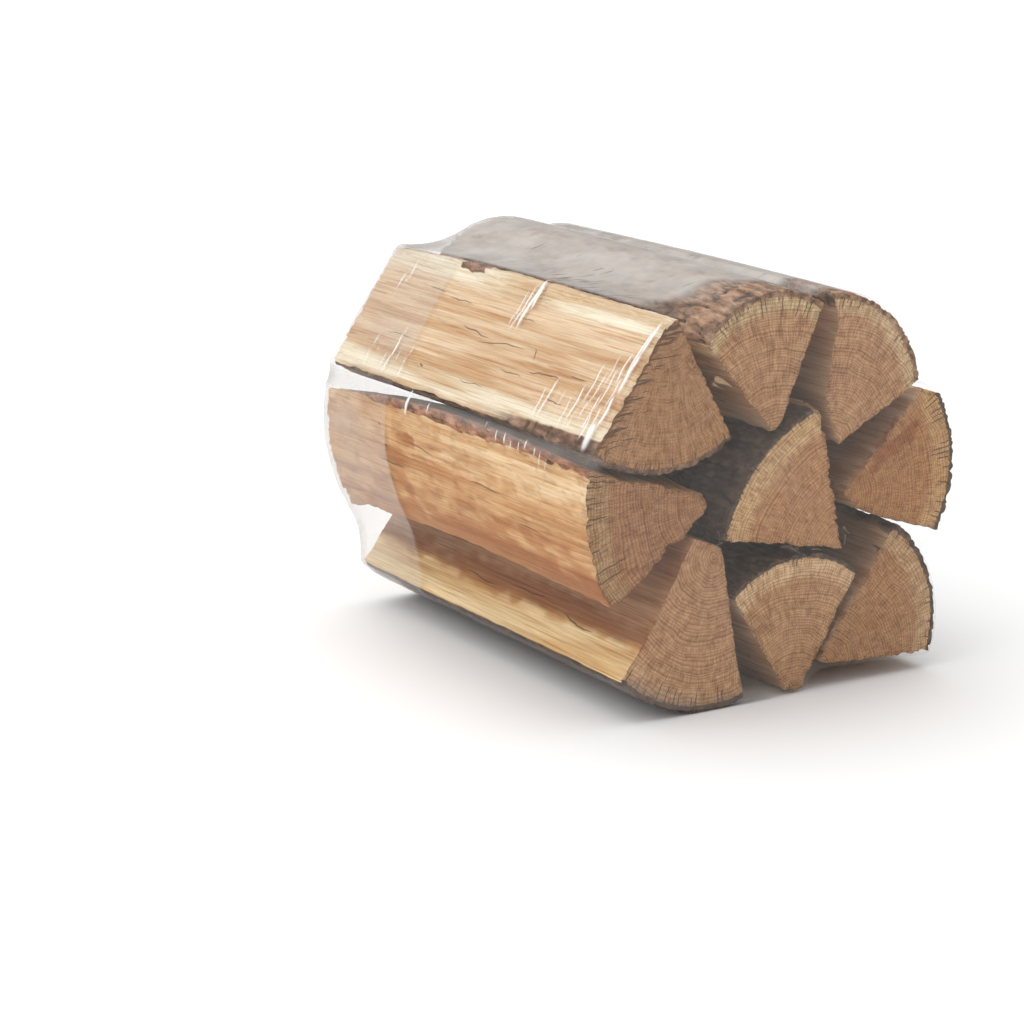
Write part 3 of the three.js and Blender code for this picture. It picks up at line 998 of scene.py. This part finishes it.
def film_side(low, high):
    """The film round the logs, as rows of points on the CAD film, with where each point lies."""
    edge = 4.0 * MM
    ys = np.linspace(low[1] + edge, high[1] - edge, FILM_STATIONS)
    lines = np.array([even(film_profile(y), FILM_AROUND)[0] for y in ys])
    shares = film_rows()
    rows_y = low[1] + (high[1] - low[1]) * shares
    base = rows_between(lines, ys, rows_y)
    away = base - MIDDLE
    share = np.broadcast_to(shares[:, None], away.shape[:2])
    span = (high[1] - low[1]) / MM
    return SimpleNamespace(
        rows_y=rows_y,
        base=base,
        unit=away / np.linalg.norm(away, axis=2)[:, :, None],
        angle=np.degrees(np.arctan2(away[:, :, 1], away[:, :, 0])),
        share=share,
        span=span,
        low_y=low[1] / MM,
        near=np.minimum(share, 1 - share) * span,
        x=base[:, :, 0] / MM,
        y=np.broadcast_to(rows_y[:, None], share.shape) / MM,
        z=base[:, :, 1] / MM,
    )


def film_relief(side):
    """How far the film stands off the CAD film, in mm, and how strong the painted white highlight along its
    wrinkles is.
    """
    x, y, z = side.x, side.y, side.z
    lift = 0.35 * fbm(x / 30, y / 18, z / 30, 91, 2)
    crease_highlight = np.zeros(x.shape)
    for middle, at, reach, width, height, lean, highlight in WRINKLES:
        turn = (side.angle - middle + 180) % 360 - 180
        along = y - (side.low_y + at * side.span) - lean * turn - 1.5 * noise3(turn / 4, middle, 0, 7)
        body = np.exp(-((along / width) ** 2)) * smooth(reach, reach * 0.3, np.abs(turn))
        lift = lift + height * body
        crease_highlight = np.maximum(crease_highlight, highlight * body)
    # Small ripples where the film is drawn in at both ends.
    drawn = np.exp(-side.share * side.span / 26) + np.exp(-(1 - side.share) * side.span / 20)
    lift = lift + 0.5 * drawn * fbm(x / 5, y / 30, z / 5, 95, 2)
    inner = np.clip(RIM_CURVE**2 - (RIM_CURVE - side.near) ** 2, 0, None)
    rounded = np.where(side.near < RIM_CURVE, RIM_CURVE - np.sqrt(inner), 0)
    return lift - 0.35 - rounded, crease_highlight


def film_tone(side):
    """How hazy the film is, how thick its dark pleats of painted shade lie, and how much painted shade
    darkens its haze to brown, from 0 to 1.
    """
    x, y, z, angle, share = side.x, side.y, side.z, side.angle, side.share
    haze = 0.012 + 0.02 * fbm(x / 60, y / 45, z / 60, 97, 3) + 0.05 * np.exp(-side.near / 5)
    # Grey over the top, with thinner spots: partly the film's own haze, partly a painted reflection of the
    # bright studio that the film shows from this low view.
    over_top = smooth(123.5, 120.5, angle) * smooth(28, 50, angle)
    over_top = over_top * smooth(0.04, 0.17, share + 0.06 * noise3(x / 24, y / 30, 0, 111))
    thin = smooth(0.34, 0.70, fbm(x / 15, y / 24, 0, 117, 3))
    haze = haze + (0.56 + 0.08 * fbm(x / 35, y / 50, 0, 113, 3) - 0.16 * thin) * over_top
    # The overlap towards the back shows on the left, and less so round the gap between the two logs there.
    band = smooth(OVERLAP - 0.004, OVERLAP + 0.004, share + 0.01 * noise3(x / 60, z / 60, 0, 99))
    band = band * smooth(118, 124, np.abs(angle)) * (0.7 + 0.3 * noise3(x / 25, y / 60, z / 25, 101))
    haze = haze + (0.36 - 0.22 * smooth(150, 157, angle) * smooth(168, 163, angle)) * band
    # Hazier spots, their haze painted dark brown as shade: under the lower left log, across the gap between
    # the two left logs, and over the upper left log's top edge near the back.
    under = smooth(-0.668, -0.70, side.unit[:, :, 1]) * smooth(0.1, -0.1, side.unit[:, :, 0])
    bridge = smooth(161.5, 163.5, angle) * smooth(2.2, 0.0, angle - 164.3 - 2.6 * smooth(0.6, 1.0, share))
    back_top = smooth(110, 114, angle) * smooth(126, 121, angle) * smooth(0.72, 0.9, share)
    haze = haze + 0.26 * under + 0.24 * bridge + 0.22 * back_top
    shade = 0.15 * bridge + 0.15 * back_top + 0.6 * under
    # The pleats of painted shade lie in loose bunches.
    bunch = smooth(-0.25, 0.5, fbm(x / 30, y / 26, 0, 115, 2))
    pleat_shade = over_top * np.maximum(0.5 * bunch, smooth(112, 118, angle) * smooth(0.7, 0.4, share))
    return haze, pleat_shade, shade


def film_front(rim, hub):
    """The closed front end, stretched flat over the logs' ends: its rings of points and their haze."""
    shares = np.linspace(0, 1, CAP_RINGS + 2)[1:-1]
    rings = hub + (rim[None] - hub) * (1 - shares)[:, None, None]
    x, z = rings[:, :, 0] / MM, rings[:, :, 2] / MM
    sunk = 0.9 + 0.8 * fbm(x / 26, z / 26, 0, 103, 2)
    rings[:, :, 1] += MM * sunk * smooth(0, 0.1, shares)[:, None]
    return rings, 0.065 + 0.03 * fbm(x / 55, z / 55, 0, 105, 3)


def film_back(rim, hub):
    """The back end, gathered in to a round opening: its rings of points, their haze and their creases."""
    out = (rim - hub)[:, [0, 2]]
    direction = out / np.linalg.norm(out, axis=1)[:, None]
    ring = as_points((hub[[0, 2]] + OPENING * direction)[None], hub[1:2])[0]
    shares = np.linspace(0, 1, CAP_RINGS + 1)[1:, None]
    rings = rim[None] * (1 - shares[:, :, None]) + ring[None] * shares[:, :, None]
    spin = np.arctan2(direction[:, 1], direction[:, 0])
    pleat = noise3(spin * 9, 3.0, 0, 107) + 0.6 * noise3(spin * 21, 5.0, 0, 109)
    rings[:, :, 1] = hub[1] - MM * (0.8 - 0.75 * pleat * shares**1.5)
    haze = 0.14 + 0.12 * shares**3 + 0.06 * pleat * shares
    return rings, haze, np.clip(pleat, 0, 1) * shares**4 * 0.5


def build_film():
    low, high = (np.array(v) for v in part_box("shrink_film"))
    side = film_side(low, high)
    lift, crease_highlight = film_relief(side)
    haze, pleat_shade, shade = film_tone(side)
    points = side.base + side.unit * (lift * MM)[:, :, None]
    points[:, :, 1] = np.maximum(points[:, :, 1], 0.3 * MM)
    verts = as_points(points, side.rows_y)

    front_hub, back_hub = (np.array([MIDDLE[0], y, MIDDLE[1]]) for y in (low[1], high[1]))
    front, front_haze = film_front(verts[0], front_hub)
    back, back_haze, back_crease = film_back(verts[-1], back_hub)
    around = np.arange(FILM_AROUND)[None]
    count = FILM_ROWS * FILM_AROUND
    front_ids = np.vstack([around, count + np.arange(front_haze.size).reshape(-1, FILM_AROUND)])
    hub_id = count + front_haze.size
    last_row = (FILM_ROWS - 1) * FILM_AROUND
    back_ids = hub_id + 1 + np.arange(back_haze.size).reshape(-1, FILM_AROUND)
    back_ids = np.vstack([last_row + around, back_ids])
    quads = [grid_quads(FILM_ROWS, FILM_AROUND), ring_quads(front_ids), ring_quads(back_ids, flip=True)]
    inmost = front_ids[-1]
    fan = np.stack([inmost, np.roll(inmost, -1), np.full(FILM_AROUND, hub_id)], axis=1)

    caps = np.zeros(front_haze.size + 1 + back_haze.size)
    all_haze = np.concatenate([haze.ravel(), front_haze.ravel(), [0.03], back_haze.ravel()])
    layers = {
        "haze": np.clip(all_haze, 0.0, 0.7),
        "crease_highlight": np.concatenate([crease_highlight.ravel(), np.zeros(front_haze.size + 1), back_crease.ravel()]),
        "pleat_shade": np.concatenate([pleat_shade.ravel(), caps]),
        "shade": np.concatenate([shade.ravel(), caps]),
    }
    middle = (front_hub + [0, 0.9 * MM, 0])[None]
    all_points = np.vstack([verts.reshape(-1, 3), front.reshape(-1, 3), middle, back.reshape(-1, 3)])
    piece = make_mesh("film_wrap", all_points, np.vstack(quads), fan, layers)
    piece.data.shade_smooth()
    return piece


def film_material():
    n = Nodes("film_clear")
    place = n.place()
    ripple = n.grain(place, (0.05, 0.35, 0.05), 3.0, 0.55)
    swell = n.grain(place, (0.03, 0.04, 0.03))
    bump = n.bump(ripple * 0.35 + swell, 0.0004, 0.35)
    # Fine dark pleats across the film, over the top: painted shade in folds that the mesh doesn't have.
    px, py, pz = n.split(place)
    run = n.math("MULTIPLY_ADD", px, 0.16, py * 0.42)
    pleat = n.noise(n.join(run, px * 0.035, pz * 0.02), 1.0, 2.0, 0.6)
    limit = n.math("MULTIPLY_ADD", n.layer("pleat_shade"), -0.20, 0.72)
    pleat = n.step(pleat - limit, 0.0, 0.05)
    pleat = pleat * n.step(n.layer("pleat_shade"), 0.02, 0.12)

    # The wrinkles' painted highlight: opaque white haze laid along them.
    crease_highlight = n.layer("crease_highlight")
    smudge = n.grain(place, (0.02, 0.02, 0.02), 3.0, 0.6)
    haze = n.layer("haze") * n.step(smudge, 0.3, 0.7, 0.85, 1.15)
    haze = haze + n.step(crease_highlight, 0.2, 0.8) * 0.78
    haze = n.math("ADD", haze, pleat * 0.8, clamp=True)
    # Painted dark brown shade at the pleats and where the shade layer says, then a painted white highlight
    # along the wrinkles.
    tint = n.mix(n.larger(pleat, n.layer("shade")), (0.705, 0.66, 0.61), (0.11, 0.065, 0.04))
    tint = n.mix(n.step(crease_highlight, 0.2, 0.6), tint, (0.95, 0.95, 0.95))
    clear = n.add("ShaderNodeBsdfTransparent").outputs[0]
    body = n.blend(haze, clear, n.principled(Base_Color=tint, Roughness=0.4))

    gloss = n.fill("ShaderNodeBsdfGlossy", {"Roughness": 0.12, "Normal": bump}).outputs[0]
    facing = n.fill("ShaderNodeLayerWeight", {"Blend": 0.5, "Normal": bump}).outputs["Facing"]
    shine = n.math("MULTIPLY_ADD", n.math("POWER", facing, 6.5), 0.55, 0.015, clamp=True)
    return n.finish(n.blend(shine, body, gloss))


# ---------------------------------------------------------------- loose splinters at the front ends

# Each is x, z, length, direction in degrees, half width, all in mm, and its tone from dark bark to pale wood.
SPLINTERS = [
    (-58, 258, 17, -18, 2.4, 0.9),
    (-60, 255, 11, -38, 1.0, 0.6),
    (-52.5, 140, 9, -75, 1.6, 0.0),
    (-50, 136, 8, -20, 1.3, 0.0),
    (-48, 131, 9, 200, 1.0, 0.1),
    (7, 120, 13, -8, 1.8, 0.0),
    (14, 119, 14, -25, 1.5, 0.1),
    (24, 117, 12, 190, 1.2, 0.0),
    (37, 114, 9, -5, 1.1, 0.2),
    (67, 128, 8, -60, 1.0, 0.4),
    (69, 121, 8, -95, 0.9, 0.3),
    (-31, 20, 10, -80, 0.9, 0.7),
    (58, 44, 16, 35, 0.8, 0.7),
    (66, 38, 18, 22, 0.8, 0.8),
    (19, 8, 8, -70, 1.0, 0.6),
    (-74, 252, 9, -70, 0.8, 0.5),
    (92, 184, 12, -140, 0.9, 0.2),
]


def build_splinters():
    """Thin tapered shards that lie against the logs' front ends, bent a little along their length."""
    sides, steps = 6, 7
    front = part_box("split_centre")[0][1]
    points, faces, ends, tones = [], [], [], []
    for index, (x, z, length, turn, half, tone) in enumerate(SPLINTERS):
        turn = math.radians(turn)
        along = np.array([math.cos(turn), math.sin(turn)])
        across = np.array([-along[1], along[0]])
        start = len(points)
        for step in range(steps):
            share = step / (steps - 1)
            bend = length * 0.14 * share**2 * (1 if index % 2 else -1)
            middle = np.array([x, z]) + OUTLINE_SHIFT + along * length * share + across * bend
            size = half * (1 - 0.85 * share) * (1 + 0.3 * math.sin(5 * share + index))
            for side in range(sides):
                spin = 2 * math.pi * side / sides
                place = middle + across * size * math.cos(spin)
                deep = 2.2 + 0.6 * size * math.sin(spin) - 0.8 * share
                points.append((place[0] * MM, front + deep * MM, place[1] * MM))
                tones.append(tone)
        ids = start + np.arange(sides * steps).reshape(steps, sides)
        faces.append(ring_quads(ids))
        ends += [tuple(ids[0][::-1]), tuple(ids[-1])]
    piece = make_mesh("loose_splinters", points, np.vstack(faces), ends, {"tone": tones})
    piece.data.shade_smooth()
    return piece


def splinter_material():
    n = Nodes("splinter_wood")
    fibre = n.grain(n.place(), (0.9, 0.3, 0.9), 3.0, 0.6)
    pale = n.ramp(fibre, [(0.35, (0.34, 0.20, 0.11)), (0.65, (0.62, 0.42, 0.25))])
    dark = n.ramp(fibre, [(0.35, (0.03, 0.018, 0.012)), (0.65, (0.11, 0.065, 0.04))])
    colour = n.mix(n.layer("tone"), dark, pale)
    return n.finish(n.principled(Base_Color=colour, Roughness=0.75, Normal=n.bump(fibre, 0.0006, 0.7)))


splinters = build_splinters()
splinters.data.materials.append(splinter_material())
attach(splinters, "root")

film = build_film()
film.data.materials.append(film_material())
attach(film, "root")
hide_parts("shrink_film")

# ---------------------------------------------------------------- floor, light and camera


def floor_material():
    n = Nodes("floor_white")
    place = n.add("ShaderNodeTexCoord").outputs["Object"]
    tone = n.ramp(n.noise(place, 0.8), [(0.3, (0.93, 0.93, 0.93)), (0.7, (0.95, 0.95, 0.95))])
    return n.finish(n.principled(Base_Color=tone, Roughness=0.8, Specular_IOR_Level=0.2))


FLOOR_SIZE = 60.0
bpy.ops.mesh.primitive_plane_add(size=FLOOR_SIZE, location=(0, 0, 0))
floor = bpy.context.object
floor.name = "floor"
floor.data.materials.append(floor_material())

# The backdrop is white to the camera, and lights the bundle more softly.
world = bpy.data.worlds.new("studio")
bpy.context.scene.world = world
world.use_nodes = True
sky = world.node_tree
ambient = sky.nodes["Background"]
ambient.inputs["Color"].default_value = (1.0, 1.0, 1.0, 1)
ambient.inputs["Strength"].default_value = 0.53
backdrop = sky.nodes.new("ShaderNodeBackground")
backdrop.inputs["Color"].default_value = (1.0, 1.0, 1.0, 1)
backdrop.inputs["Strength"].default_value = 1.0
seen = sky.nodes.new("ShaderNodeLightPath")
choice = sky.nodes.new("ShaderNodeMixShader")
sky.links.new(seen.outputs["Is Camera Ray"], choice.inputs[0])
sky.links.new(ambient.outputs[0], choice.inputs[1])
sky.links.new(backdrop.outputs[0], choice.inputs[2])
sky.links.new(choice.outputs[0], sky.nodes["World Output"].inputs[0])


def broad_light(name, towards, power, spread):
    """A large soft studio light, far off in one direction."""
    light = bpy.data.lights.new(name, "SUN")
    light.energy = power
    light.angle = math.radians(spread)
    lamp = bpy.data.objects.new(name, light)
    bpy.context.collection.objects.link(lamp)
    lamp.location = Vector(towards) * 3
    lamp.rotation_euler = (-Vector(towards)).to_track_quat("-Z", "Y").to_euler()
    return lamp


broad_light("top", (-0.12, 0.30, 0.946), 2.15, 90)
broad_light("left", (-0.93, 0.15, 0.33), 0.65, 60)

FRONT = -0.204  # the front ends' plane
camera_data = bpy.data.cameras.new("camera")
camera_data.lens = 98.4
camera_data.sensor_width = 36
camera = bpy.data.objects.new("camera", camera_data)
bpy.context.collection.objects.link(camera)
camera.location = (-1.2454, FRONT - 1.6679, 0.6752)
camera.rotation_euler = (math.radians(90 - 14.234), 0, math.radians(-31.2))
camera_data.clip_end = 200
bpy.context.scene.camera = camera

bpy.context.scene.view_settings.view_transform = "Standard"
